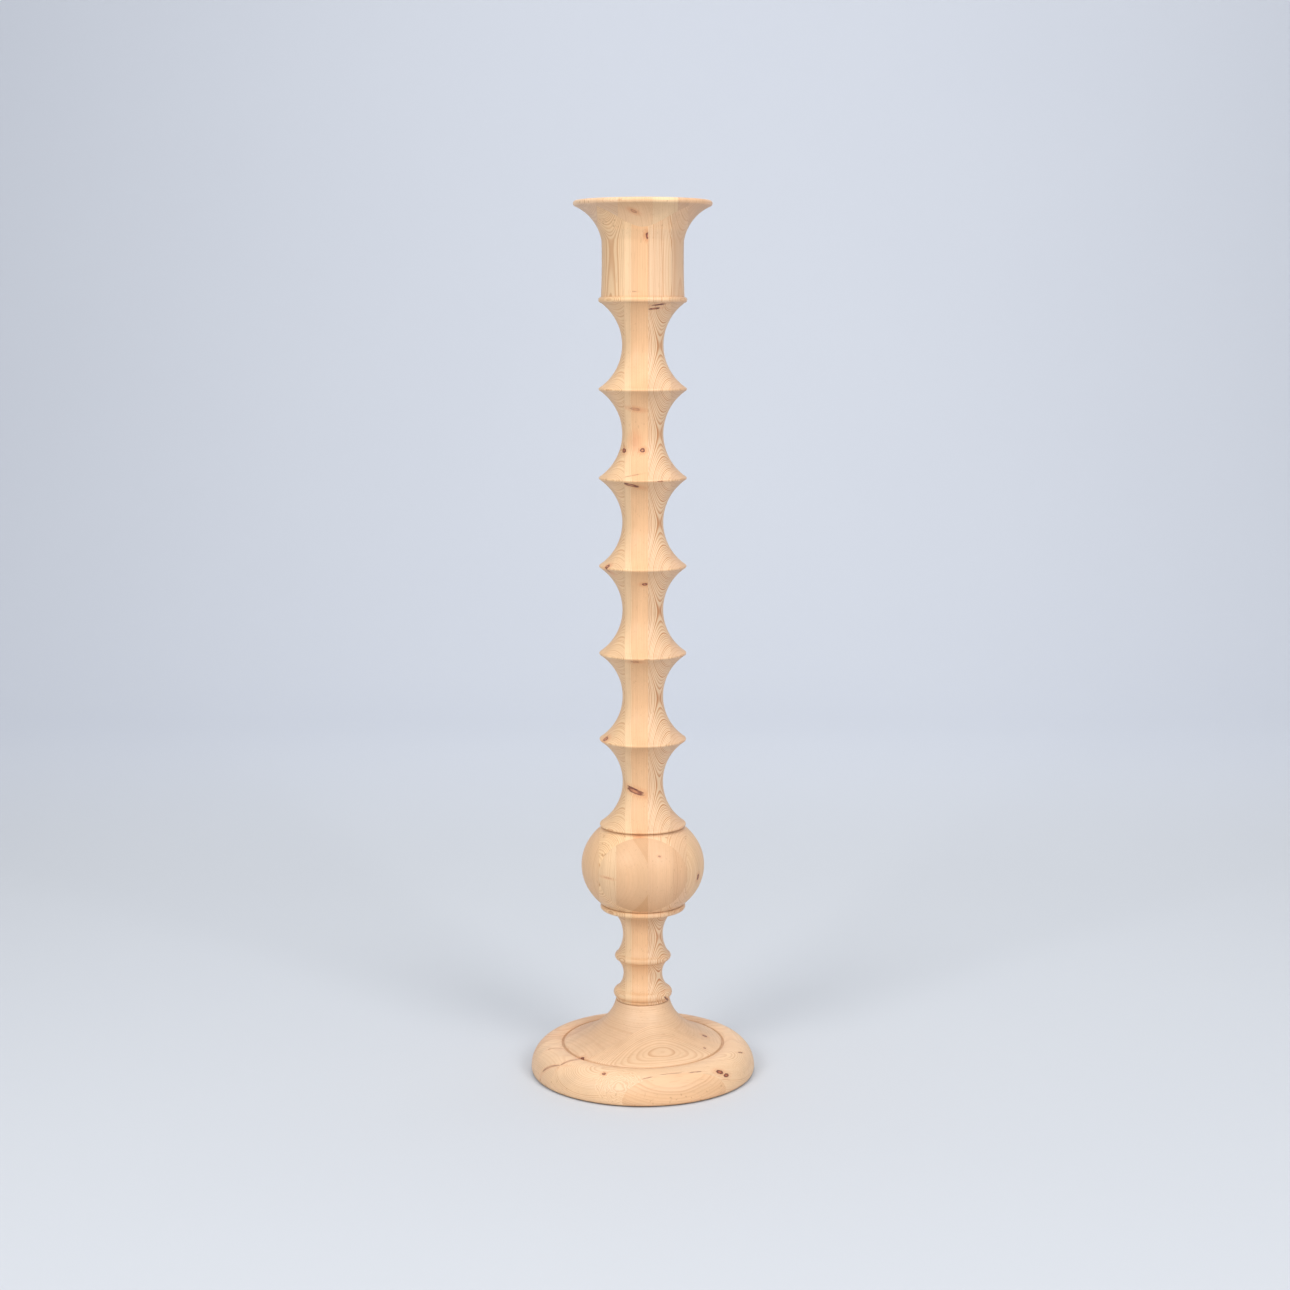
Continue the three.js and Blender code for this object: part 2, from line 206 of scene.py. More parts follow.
def ramp(tree, value, low, high, bottom=0.0, top=1.0):
    """A smooth step of a value from bottom to top between low and high."""
    inputs = {"Value": value, "From Min": low, "From Max": high, "To Min": bottom, "To Max": top}
    return add(tree, "ShaderNodeMapRange", inputs, interpolation_type="SMOOTHSTEP").outputs[0]


def mixed(tree, blend, factor, first, second):
    """Two colours blended."""
    inputs = {0: factor, 6: first, 7: second}
    return add(tree, "ShaderNodeMix", inputs, data_type="RGBA", blend_type=blend).outputs[2]


def noise(tree, point, scale, detail=2.0, output=0):
    """Soft noise, as a value or as three values in a colour."""
    inputs = {"Vector": point, "Scale": scale, "Detail": detail}
    return add(tree, "ShaderNodeTexNoise", inputs, noise_dimensions="3D").outputs[output]


def new_group(name, inputs, outputs):
    """A node group with named sockets: its tree, what comes in and where the results go."""
    tree = bpy.data.node_groups.new(name, "ShaderNodeTree")
    for way, sockets in (("INPUT", inputs), ("OUTPUT", outputs)):
        for label, kind in sockets.items():
            tree.interface.new_socket(label, in_out=way, socket_type="NodeSocket" + kind)
    given = tree.nodes.new("NodeGroupInput").outputs
    return tree, given, tree.nodes.new("NodeGroupOutput")


def give(tree, end, results):
    """Links a group's results to its output sockets."""
    for label, socket in results.items():
        tree.links.new(socket, end.inputs[label])


def radius_of(tree, point):
    """How far a point is from the upright axis."""
    level = vector(tree, "MULTIPLY", point, (1.0, 1.0, 0.0))
    return add(tree, "ShaderNodeVectorMath", {0: level}, operation="LENGTH").outputs["Value"]


def scaled(tree, value, factor):
    """A vector times a number."""
    return add(tree, "ShaderNodeVectorMath", {0: value, "Scale": factor}, operation="SCALE").outputs[0]


def grain_group():
    """Solid pine: growth rings round a pith along Z, with late wood, heartwood, fibres and resin flecks."""
    numbers = ("End Grain", "Ring", "Wander", "Bulge", "Contrast", "Heart Edge", "Seed")
    inputs = dict.fromkeys(numbers, "Float")
    inputs |= {"Point": "Vector", "Early": "Color", "Late": "Color", "Heart": "Color"}
    outputs = {"Color": "Color", "Roughness": "Float", "Height": "Float"}
    tree, given, end = new_group("pine_grain", inputs, outputs)
    seeds = add(tree, "ShaderNodeCombineXYZ", {i: given["Seed"] for i in range(3)}).outputs[0]
    seeded = vector(tree, "ADD", given["Point"], seeds)
    drift = noise(tree, vector(tree, "MULTIPLY", seeded, (1.0, 1.0, 0.8)), 26.0, 1.5, "Color")
    push = scaled(tree, vector(tree, "SUBTRACT", drift, (0.5, 0.5, 0.5)), given["Wander"])
    reach = calc(tree, "ADD", radius_of(tree, vector(tree, "ADD", given["Point"], push)), given["Bulge"])
    along = {"W": calc(tree, "ADD", reach, given["Seed"]), "Scale": 160.0, "Detail": 1.0}
    uneven = add(tree, "ShaderNodeTexNoise", along, noise_dimensions="1D").outputs[0]
    years = calc(tree, "MULTIPLY_ADD", uneven, 2.2, calc(tree, "DIVIDE", reach, given["Ring"]))
    part = calc(tree, "FRACT", years)
    late = calc(tree, "MULTIPLY", ramp(tree, part, 0.3, 0.86), ramp(tree, part, 1.0, 0.9))
    year = {"W": calc(tree, "FLOOR", years)}
    chance = add(tree, "ShaderNodeTexWhiteNoise", year, noise_dimensions="1D").outputs["Value"]
    strength = calc(tree, "MULTIPLY", given["Contrast"], calc(tree, "MULTIPLY_ADD", chance, 0.9, 0.45))
    band = calc(tree, "MULTIPLY", late, strength)
    fibre = noise(tree, vector(tree, "MULTIPLY", seeded, (1.0, 1.0, 0.025)), 1500.0)
    patch = noise(tree, vector(tree, "MULTIPLY", seeded, (1.0, 1.0, 0.12)), 60.0, 3.0)
    streak = noise(tree, vector(tree, "MULTIPLY", seeded, (1.0, 1.0, 0.07)), 900.0, 0.0)
    fleck = ramp(tree, streak, 0.73, 0.8)
    wood = mixed(tree, "MIX", band, given["Early"], given["Late"])
    inner = calc(tree, "SUBTRACT", given["Heart Edge"], 0.0006)
    heart = ramp(tree, reach, given["Heart Edge"], inner)
    wood = mixed(tree, "MULTIPLY", heart, wood, given["Heart"])
    light = calc(tree, "MULTIPLY_ADD", fibre, 0.14, 0.93)
    light = calc(tree, "MULTIPLY", light, calc(tree, "MULTIPLY_ADD", patch, 0.24, 0.88))
    light = calc(tree, "MULTIPLY", light, calc(tree, "MULTIPLY_ADD", given["End Grain"], -0.06, 1.0))
    wood = mixed(tree, "MULTIPLY", 1.0, wood, light)
    wood = mixed(tree, "MIX", calc(tree, "MULTIPLY", fleck, 0.25), wood, colour(178, 124, 78))
    rough = calc(tree, "MULTIPLY_ADD", band, -0.12, calc(tree, "MULTIPLY_ADD", fibre, 0.14, 0.45))
    rough = calc(tree, "MULTIPLY_ADD", given["End Grain"], 0.06, rough)
    height = calc(tree, "MULTIPLY_ADD", band, 0.6, calc(tree, "MULTIPLY", fibre, 0.5))
    give(tree, end, {"Color": wood, "Roughness": rough, "Height": calc(tree, "SUBTRACT", height, fleck)})
    return tree


def knot_group():
    """A branch cut through, as masks: its core, the dark bark round it, the stained wood near it, and the
    whorl of growth rings round it."""
    inputs = {"Point": "Vector", "Centre": "Vector", "Turn": "Vector", "Reach": "Vector"}
    parts = dict.fromkeys(("Bark", "Core", "Stain", "Whorl"), "Float")
    tree, given, end = new_group("pine_knot", inputs | parts, parts)
    place = {"Vector": "Point", "Location": "Centre", "Rotation": "Turn", "Scale": "Reach"}
    place = {key: given[name] for key, name in place.items()}
    inside = add(tree, "ShaderNodeMapping", place, vector_type="TEXTURE").outputs[0]
    ragged = vector(tree, "SUBTRACT", noise(tree, inside, 1.7, 2.0, "Color"), (0.5, 0.5, 0.5))
    ragged = vector(tree, "ADD", inside, scaled(tree, ragged, 0.9))
    away = add(tree, "ShaderNodeVectorMath", {0: ragged}, operation="LENGTH").outputs["Value"]
    masks = {
        "Bark": calc(tree, "MULTIPLY", ramp(tree, away, 1.15, 0.95), ramp(tree, away, 0.2, 0.75)),
        "Core": ramp(tree, away, 1.0, 0.8),
        "Stain": ramp(tree, away, 3.2, 0.8),
        "Whorl": ramp(tree, away, 3.2, 0.2),
    }
    give(tree, end, {label: calc(tree, "MULTIPLY", mask, given[label]) for label, mask in masks.items()})
    return tree


def rub_group():
    """A turned edge that hands have rubbed: paler and smoother from a radius outwards, with a few nicks."""
    inputs = {"Point": "Vector", "Color": "Color", "Roughness": "Float", "Radius": "Float", "Fade": "Float"}
    tree, given, end = new_group("rubbed_edge", inputs, {"Color": "Color", "Roughness": "Float"})
    inner = calc(tree, "SUBTRACT", given["Radius"], given["Fade"])
    edge = ramp(tree, radius_of(tree, given["Point"]), inner, given["Radius"])
    nick = calc(tree, "MULTIPLY", ramp(tree, noise(tree, given["Point"], 210.0, 1.0), 0.66, 0.74), edge)
    pale = mixed(tree, "MULTIPLY", edge, given["Color"], (1.05, 1.03, 0.99, 1.0))
    worn = mixed(tree, "MIX", calc(tree, "MULTIPLY", nick, 0.45), pale, colour(176, 120, 76))
    rough = calc(tree, "MULTIPLY_ADD", edge, -0.1, given["Roughness"])
    give(tree, end, {"Color": worn, "Roughness": rough})
    return tree


def crease_shade_group():
    """Wood painted darker round one radius and height, fading out as far away as the spread: painted shade
    in a crease of the turning, where the light doesn't reach.
    """
    inputs = {"Point": "Vector", "Color": "Color"}
    inputs |= dict.fromkeys(("Radius", "Height", "Spread", "Strength"), "Float")
    tree, given, end = new_group("painted_crease_shade", inputs, {"Color": "Color"})
    height = add(tree, "ShaderNodeSeparateXYZ", {0: given["Point"]}).outputs["Z"]
    up = calc(tree, "SUBTRACT", height, given["Height"])
    out = calc(tree, "SUBTRACT", radius_of(tree, given["Point"]), given["Radius"])
    away = calc(tree, "SQRT", calc(tree, "MULTIPLY_ADD", up, up, calc(tree, "MULTIPLY", out, out)))
    mask = calc(tree, "MULTIPLY", ramp(tree, away, given["Spread"], 0.0), given["Strength"])
    patchy = calc(tree, "MULTIPLY_ADD", noise(tree, given["Point"], 90.0), 0.8, 0.6)
    mask = calc(tree, "MULTIPLY", mask, patchy)
    # Painted shade: inside the mask the wood is multiplied towards a deep brown.
    give(tree, end, {"Color": mixed(tree, "MULTIPLY", mask, given["Color"], (0.42, 0.27, 0.17, 1.0))})
    return tree


GRAIN = grain_group()
KNOT = knot_group()
RUB = rub_group()
CREASE_SHADE = crease_shade_group()
UPRIGHT = Matrix.Identity(3)
EVEN = (1.0, 1.0, 1.0, 1.0)
LATE = colour(200, 138, 90)


def knots_in(tree, point, knots):
    """The masks of all of a piece's knots together. Each knot is its centre and half sizes in mm, its turn
    in degrees, and how strong its bark, core and stain are. A fourth strength is for a whorl."""
    masks = {"Bark": [], "Core": [], "Stain": [], "Whorl": []}
    for centre, reach, turn, strengths in knots:
        inputs = {"Point": point, "Centre": Vector(centre) * MM, "Reach": Vector(reach) * MM}
        inputs |= {"Turn": Vector([math.radians(a) for a in turn]), **dict(zip(masks, strengths))}
        cut = add(tree, "ShaderNodeGroup", inputs, node_tree=KNOT).outputs
        for label, found in masks.items():
            found.append(cut[label])
    for found in masks.values():
        while len(found) > 1:
            found.append(calc(tree, "MAXIMUM", found.pop(0), found.pop(0)))
    return {label: found[0] for label, found in masks.items()}


def pine(
    name,
    early,
    pith,
    ring,
    contrast,
    late=LATE,
    heart=EVEN,
    heart_edge=0.0,
    wander=2.0,
    lean=0.0,
    lie=UPRIGHT,
    knots=(),
    edge=None,
    creases=(),
):
    """Bare sanded pine. pith is where the middle of the tree ran, across the grain, and ring, heart_edge and
    wander are in mm as well. lie turns the grain from upright, and lean tilts it by that many degrees. A
    crease is painted shade round a crease of the turning: its radius, height and spread in mm and its
    strength. An edge is its radius and how far in from it the wear fades."""
    material = bpy.data.materials.new(name)
    material.use_nodes = True
    tree = material.node_tree
    shader = tree.nodes["Principled BSDF"]
    coords = tree.nodes.new("ShaderNodeTexCoord").outputs
    turn = (Matrix.Rotation(math.radians(lean), 3, "Y") @ lie).to_euler("XYZ")
    place = {"Vector": coords["Object"], "Rotation": turn, "Location": (-pith[0] * MM, -pith[1] * MM, 0)}
    grain = {"Point": add(tree, "ShaderNodeMapping", place).outputs[0]}
    fibres = {0: coords["Normal"], 1: lie.row[2]}
    facing = add(tree, "ShaderNodeVectorMath", fibres, operation="DOT_PRODUCT")
    grain["End Grain"] = calc(tree, "POWER", calc(tree, "ABSOLUTE", facing.outputs["Value"]), 2.0)
    grain |= {"Early": early, "Late": late, "Heart": heart, "Contrast": contrast}
    grain |= {"Ring": ring * MM, "Wander": wander * MM, "Heart Edge": heart_edge * MM}
    grain["Seed"] = sum(map(ord, name)) / 100
    masks = knots_in(tree, coords["Object"], knots) if knots else None
    if masks:
        grain["Bulge"] = calc(tree, "MULTIPLY", masks["Stain"], 0.004)
    wood = add(tree, "ShaderNodeGroup", grain, node_tree=GRAIN).outputs
    tone, rough = wood["Color"], wood["Roughness"]
    if any(len(strengths) > 3 for _, _, _, strengths in knots):
        years = calc(tree, "PINGPONG", calc(tree, "MULTIPLY", masks["Whorl"], 9.0), 0.5)
        rings = mixed(tree, "MIX", ramp(tree, years, 0.15, 0.45, 0.0, 0.4), early, late)
        reached = ramp(tree, masks["Whorl"], 0.02, 0.14, 0.0, 0.85)
        tone = mixed(tree, "MIX", reached, tone, rings)
    if masks:
        tone = mixed(tree, "MULTIPLY", masks["Stain"], tone, colour(240, 206, 188))
        tone = mixed(tree, "MIX", masks["Core"], tone, colour(186, 112, 78))
        tone = mixed(tree, "MIX", masks["Bark"], tone, colour(104, 50, 42))
    # Painted shade in each crease of the turning.
    for radius, height, spread, strength in creases:
        painted_shade = {"Point": coords["Object"], "Color": tone, "Strength": strength}
        painted_shade |= {"Radius": radius * MM, "Height": height * MM, "Spread": spread * MM}
        tone = add(tree, "ShaderNodeGroup", painted_shade, node_tree=CREASE_SHADE).outputs["Color"]
    if edge:
        rub = {"Point": coords["Object"], "Color": tone, "Roughness": rough}
        rub |= {"Radius": edge[0] * MM, "Fade": edge[1] * MM}
        rubbed = add(tree, "ShaderNodeGroup", rub, node_tree=RUB).outputs
        tone, rough = rubbed["Color"], rubbed["Roughness"]
    bump = add(tree, "ShaderNodeBump", {"Height": wood["Height"], "Strength": 0.35, "Distance": 0.0003})
    tree.links.new(tone, shader.inputs["Base Color"])
    tree.links.new(rough, shader.inputs["Roughness"])
    tree.links.new(bump.outputs[0], shader.inputs["Normal"])
    shader.inputs["Coat Weight"].default_value = 0.08
    shader.inputs["Coat Roughness"].default_value = 0.35
    return material


across = Matrix.Rotation(-BOARD_TURN, 3, "Z")
ALONG_BOARD = Matrix((across.row[1], across.row[2], across.row[0]))
FRONTWARDS = tuple(-across.row[1])

blank = start(COUNTERBORE, UNDERSIDE)
line(blank, (129.6, UNDERSIDE))
oval(blank, (122.5, 6), 8, 9.11, -0.479, 0)
oval(blank, (103.5, 6), 27, 28.6, 0, 1.85)
arc(blank, (95.1, 33.1), (94.6, 32.2), 0.3)
arc(blank, (93.5, 31.6), (92.4, 32.4), 0.4)
arc(blank, (91.9, 33.7), (91.3, 34.2), 0.3)
trumpet = [Vector((r, 0, z)) * MM for r, z in ((91.3, 34.2), (58.6, 46.1), (36.6, 62.6), (31.6, 84.6))]
line(blank, *[(p.x / MM, p.z / MM) for p in interpolate_bezier(*trumpet, 40)[1:]])
line(blank, (31.0, 85.2), (BORE + 0.5, 85.2), (BORE, 84.7), (BORE, 25), (SCREW_HOLE, 25))
line(blank, (SCREW_HOLE, COUNTERBORE_FLOOR), (COUNTERBORE, COUNTERBORE_FLOOR), (COUNTERBORE, UNDERSIDE))
turned(blank, 180)

# A fine split that crosses the joint between two boards, and where the base is painted darker: painted shade
# in the groove and along the bottom edge, and a soft darkening all over the hub.
SPLIT = [
    ((-105.0, -65.2, 22.0), (15.0, 0.9, 11.0), (0, 0, -36), (0.45, 0.3, 0.3)),
    ((-83.0, -71.0, 32.5), (13.0, 1.3, 6.0), (0, 0, 13), (0.5, 0.3, 0.3)),
]

BASE_CREASES = [
    (93.5, 31.6, 3.4, 0.4),
    (130.0, 1.8, 2.4, 0.3),
    (60.0, 48.0, 60.0, 0.26),
]
BOARDS = {
    "front": dict(early=colour(233, 188, 145), pith=(-60, -70), ring=2.6, contrast=0.3, wander=4),
    "front_mid": dict(
        early=colour(240, 202, 161),
        pith=(-82.3, 64.6),
        ring=1.35,
        contrast=0.42,
        wander=1.8,
        knots=[
            ((-26.0, -121.5, 21.0), (10.5, 10.5, 7.0), (0, 0, 0), (0.0, 0.0, 0.0, 1.0)),
            ((109.0, -64.0, 22.0), (4.0, 4.0, 3.5), (0, 0, 0), (0.0, 0.0, 0.0, 0.7)),
            ((71.3, -39.3, 38.1), (1.6, 1.4, 1.6), (0, 0, 0), (0.6, 0.6, 0.3)),
            *SPLIT,
            ((87.0, -86.4, 26.0), (5.0, 2.0, 3.4), (0, 0, 25), (0.9, 1.0, 0.5)),
            ((94.5, -83.6, 21.0), (4.2, 1.8, 2.2), (0, 0, 40), (0.9, 1.0, 0.3)),
            ((-43.7, -107.2, 31.5), (2.2, 1.6, 1.6), (0, 0, 0), (0.9, 0.7, 0.6)),
            ((112.5, -33.0, 30.2), (6.5, 0.9, 1.4), (0, 0, 43), (0.9, 0.6, 0.3)),
            ((5.0, -117.6, 30.2), (12.0, 0.7, 1.0), (0, 0, 17), (0.5, 0.3, 0.2)),
            ((31.0, -109.6, 32.6), (15.0, 0.6, 1.0), (0, 0, 16), (0.45, 0.3, 0.2)),
            ((62.0, -99.2, 31.2), (12.0, 0.7, 1.0), (0, 0, 22), (0.6, 0.4, 0.2)),
        ],
    ),
    "middle": dict(
        early=colour(236, 197, 157),
        pith=(-12, -150),
        ring=2.0,
        contrast=0.18,
        wander=3,
        knots=[
            ((72.2, -8.0, 42.2), (3.4, 2.0, 2.5), (0, 0, 20), (0.9, 0.6, 0.5)),
            ((-70.5, -61.5, 32.5), (4.0, 2.6, 2.6), (0, 0, 0), (0.9, 0.7, 0.5)),
            ((-103.0, -29.0, 33.6), (11.0, 1.0, 1.6), (0, 0, -3), (0.4, 0.3, 0.3)),
            *SPLIT,
        ],
    ),
    "back_mid": dict(early=colour(231, 188, 147), pith=(80, 120), ring=1.6, contrast=0.45, wander=3),
    "back": dict(early=colour(238, 200, 161), pith=(150, -20), ring=2.2, contrast=0.4, wander=3),
}
for i, (side, wood) in enumerate(BOARDS.items()):
    cuts = []
    if i > 0:
        cuts.append((FRONTWARDS, -BOARD_FACES[i]))
    if i < len(BOARDS) - 1:
        cuts.append((tuple(-Vector(FRONTWARDS)), BOARD_FACES[i + 1]))
    material = pine(f"{side}_board_pine", lie=ALONG_BOARD, creases=BASE_CREASES, edge=(130.5, 3), **wood)
    finished(f"{side}_board", sawn(blank, *cuts), material, "stand", [f"base_board_{side}"])
blank.free()

# ---- Felt ----
# A disc of pressed wool felt, glued under the base so that the wood doesn't mark the floor. Its cut edge is
# slightly rounded.
FELT_RADIUS = 121.5
FELT_THICKNESS = 1.5
felt_shape = start(0, 0)
line(felt_shape, (FELT_RADIUS - 0.5, 0))
arc(felt_shape, (FELT_RADIUS - 0.1, 0.2), (FELT_RADIUS, FELT_THICKNESS / 2), 0.2)
arc(felt_shape, (FELT_RADIUS - 0.1, FELT_THICKNESS - 0.2), (FELT_RADIUS - 0.5, FELT_THICKNESS), 0.2)
line(felt_shape, (0, FELT_THICKNESS))
turned(felt_shape, 180)

felt = bpy.data.materials.new("wool_felt")
felt.use_nodes = True
tree = felt.node_tree
shader = tree.nodes["Principled BSDF"]
spot = tree.nodes.new("ShaderNodeTexCoord").outputs["Object"]
hair = noise(tree, spot, 1800.0, 4.0)
clump = noise(tree, spot, 90.0, 2.0)
wool = mixed(tree, "MIX", hair, colour(78, 68, 56), colour(138, 124, 102))
wool = mixed(tree, "MULTIPLY", ramp(tree, clump, 0.35, 0.7), wool, (0.82, 0.80, 0.78, 1.0))
tree.links.new(wool, shader.inputs["Base Color"])
tree.links.new(ramp(tree, hair, 0.2, 0.8, 0.85, 1.0), shader.inputs["Roughness"])
nap = add(tree, "ShaderNodeBump", {"Height": hair, "Strength": 0.8, "Distance": 0.0006})
tree.links.new(nap.outputs[0], shader.inputs["Normal"])
finished("felt_pad", felt_shape, felt, "stand", ["felt_disc"])

# ---- Washer and screw ----
# A zinc-plated washer and a hexagon-headed wood screw, in the counterbore under the base. The screw runs up
# into the tenon and pulls the column down on the base.
WASHER = (11.65, 13.65)  # its lower and upper face
WASHER_RADIUS = 12
SCREW_SEAT = 13.35
HEAD = 5.5
HEAD_RADIUS = 7.506  # to its corners
SHANK_RADIUS = 4
THREAD_PITCH = 2.6
THREAD_TURNS = 12
THREAD_STEPS = 24  # in each turn


def metal_group():
    """Worked metal: fine marks of the tool round the axis, dull patches and small scratches."""
    inputs = {"Point": "Vector", "Bright": "Color", "Dull": "Color"}
    outputs = {"Color": "Color", "Roughness": "Float", "Height": "Float"}
    tree, given, end = new_group("worked_metal", inputs, outputs)
    lines = {"W": radius_of(tree, given["Point"]), "Scale": 2600.0, "Detail": 2.0}
    turning = add(tree, "ShaderNodeTexNoise", lines, noise_dimensions="1D").outputs[0]
    cloud = ramp(tree, noise(tree, given["Point"], 120.0, 3.0), 0.4, 0.66)
    scratch = noise(tree, vector(tree, "MULTIPLY", given["Point"], (1.0, 0.12, 0.3)), 2200.0, 1.0)
    tone = mixed(tree, "MIX", cloud, given["Bright"], given["Dull"])
    rough = calc(tree, "MULTIPLY_ADD", cloud, 0.2, calc(tree, "MULTIPLY_ADD", turning, 0.12, 0.22))
    rough = calc(tree, "MULTIPLY_ADD", ramp(tree, scratch, 0.64, 0.72), 0.12, rough)
    give(tree, end, {"Color": tone, "Roughness": rough, "Height": turning})
    return tree


METAL = metal_group()


def metal(name, bright, dull):
    """Bright metal with its own two tones."""
    material = bpy.data.materials.new(name)
    material.use_nodes = True
    tree = material.node_tree
    shader = tree.nodes["Principled BSDF"]
    point = tree.nodes.new("ShaderNodeTexCoord").outputs["Object"]
    tones = {"Point": point, "Bright": bright, "Dull": dull}
    worked = add(tree, "ShaderNodeGroup", tones, node_tree=METAL).outputs
    bump = add(tree, "ShaderNodeBump", {"Height": worked["Height"], "Strength": 0.15, "Distance": 0.0001})
    tree.links.new(worked["Color"], shader.inputs["Base Color"])
    tree.links.new(worked["Roughness"], shader.inputs["Roughness"])
    tree.links.new(bump.outputs[0], shader.inputs["Normal"])
    shader.inputs["Metallic"].default_value = 1.0
    return material


zinc = metal("zinc_plate", colour(205, 208, 212), colour(160, 166, 176))
low, high = WASHER
washer = start(SCREW_HOLE, low)
line(washer, (WASHER_RADIUS - 0.2, low), (WASHER_RADIUS, low + 0.2))
line(washer, (WASHER_RADIUS, high - 0.2), (WASHER_RADIUS - 0.2, high))
line(washer, (SCREW_HOLE, high), (SCREW_HOLE, low))
turned(washer, 48)
finished("screw_washer", washer, zinc, "stand", ["washer"])

screw = start(0, SCREW_SEAT - HEAD)
line(screw, (HEAD_RADIUS, SCREW_SEAT - HEAD), (HEAD_RADIUS, SCREW_SEAT), (0, SCREW_SEAT))
turned(screw, 6)
corners = [e for e in screw.edges if not any(v.co.xy.length < 1e-6 for v in e.verts)]
bmesh.ops.bevel(screw, geom=corners, offset=0.35 * MM, affect="EDGES", segments=2, profile=0.5, material=-1)
shank = start(0, SCREW_SEAT - 1)
line(shank, (SHANK_RADIUS, SCREW_SEAT - 1), (SHANK_RADIUS, 32), (3.3, 33), (3.1, 66), (0, 73.0))
turned(shank, 32)
thread = bmesh.new()
ridge = ((2.9, 33.4), (SHANK_RADIUS, 34.1), (2.9, 34.8))
section = [thread.verts.new((radius * MM, 0, height * MM)) for radius, height in ridge]
thread.faces.new(section)
bmesh.ops.spin(
    thread,
    geom=thread.verts[:] + thread.edges[:] + thread.faces[:],
    cent=(0, 0, 0),
    axis=(0, 0, 1),
    dvec=(0, 0, THREAD_PITCH / THREAD_STEPS * MM),
    angle=math.tau * THREAD_TURNS,
    steps=THREAD_STEPS * THREAD_TURNS,
)
bmesh.ops.recalc_face_normals(thread, faces=thread.faces)
for part in (shank, thread):
    joined = bpy.data.meshes.new("screw_part")
    part.to_mesh(joined)
    screw.from_mesh(joined)
    part.free()
    bpy.data.meshes.remove(joined)
finished("hub_screw", screw, zinc, "stand", ["lag_screw"])

# ---- Column blank ----
# The column is one long turning: a foot with a tenon, two beads, a collar under the ball, five sharp fins
# with hollows between them, and the cup. Its blank is glued up from upright strips, 100 mm square, with
# cheeks glued on where the ball and the rim are wider.
SKIRT = 294.3
FIN_PITCH = 99.7
FINS = [round(SKIRT + FIN_PITCH * i, 1) for i in range(1, 6)]
CUP_COLLAR = 889.9
FIN_RADIUS = 49.6
WAIST = 23.2
HALF_BLANK = 50
GLUE_FACES = (-20.5, 6, 31.5)
PILOT = 4.3  # radius of the hole for the screw
TENON = 16

column = start(0, 74.85)
line(column, (PILOT, 67.35), (PILOT, 25.5), (TENON - 1.5, 25.5), (TENON, 27), (TENON, 85.5))
line(column, (30.4, 85.5), (30.8, 85.9), (31.2, 89))
arc(column, (34, 94.5), (29.5, 99.6), 1.2)
arc(column, (22.6, 118.1), (29.5, 133.6))
arc(column, (32.4, 136.5), (29.8, 141.4), 1.0)
arc(column, (23.2, 166), (33.5, 190.2))
line(column, (45, 194))
arc(column, (49.2, 197.5), (47, 200.1), 0.8)
oval(column, (0, 246), 71, 60.6, -0.8593, 0.8769)
line(column, (48.5, 292.6))
edges = (SKIRT, *FINS, CUP_COLLAR)
for low, high in zip(edges, edges[1:]):
    arc(column, (FIN_RADIUS, low), (48.5, low + 1.7), 0.6)
    arc(column, (WAIST, (low + high) / 2), (46.7 if high == CUP_COLLAR else 48.5, high - 1.7))
arc(column, (49.5, 890.7), (46.6, 894.7), 0.8)
arc(column, (45.7, 924.25), (45.8, 956))
arc(column, (58.5, 982), (76, 994.2))
arc(column, (77.4, 997), (74.4, 1000), 0.6)
arc(column, (72.8, 999.85), (72, 999.4), 0.6)
arc(column, (50.5, 982.4), (38.5, 958))
line(column, (38.5, 906), (38, 905.5), (0, 905.5))
turned(column, 144)

LEFT, RIGHT, FRONT, BACK, UP, DOWN = (-1, 0, 0), (1, 0, 0), (0, -1, 0), (0, 1, 0), (0, 0, 1), (0, 0, -1)
core = sawn(column, *[(way, HALF_BLANK) for way in (LEFT, RIGHT, FRONT, BACK)])
FIN_EDGE = (FIN_RADIUS, 1.6)
# Painted shade in the creases: at the foot's shoulder, at both ends of the ball and over the cup's collar.
COLUMN_CREASES = [
    (31.0, 85.5, 2.2, 0.5),
    (46.8, 200.5, 1.8, 0.25),
    (48.4, 291.8, 2.0, 0.2),
    (46.4, 894.9, 1.4, 0.1),
]

# ---- Long strips ----
# Three strips that run from the stem to the rim: left, middle left and middle right. Each is from another
# board, with its own colour and growth rings. The knots are where branches crossed the saw.
# Below the ball the column is too narrow for a fourth strip, so the middle right one is as wide as the stem.
SHARED_KNOT = ((-21.0, -15.6, 725.0), (4.2, 3.0, 2.4), (0, 35, 0), (0.9, 0.8, 0.5))
left_pine = pine(
    "left_strip_pine",
    early=colour(238, 200, 155),
    pith=(-71, -64),
    ring=1.5,
    contrast=0.6,
    wander=1.6,
    lean=0.25,
    edge=FIN_EDGE,
    creases=COLUMN_CREASES,
    knots=[
        SHARED_KNOT,
        ((-39.5, -26.5, 595.5), (3.0, 3.0, 6.5), (0, -35, 0), (0.9, 0.6, 0.6)),
        ((-42.5, -19.0, 397.5), (3.4, 4.0, 3.0), (0, -30, 0), (0.7, 0.6, 0.6)),
    ],
)
left = sawn(core, (RIGHT, GLUE_FACES[0]))
finished("strip_left", left, left_pine, "stand", ["column_strip_left"])

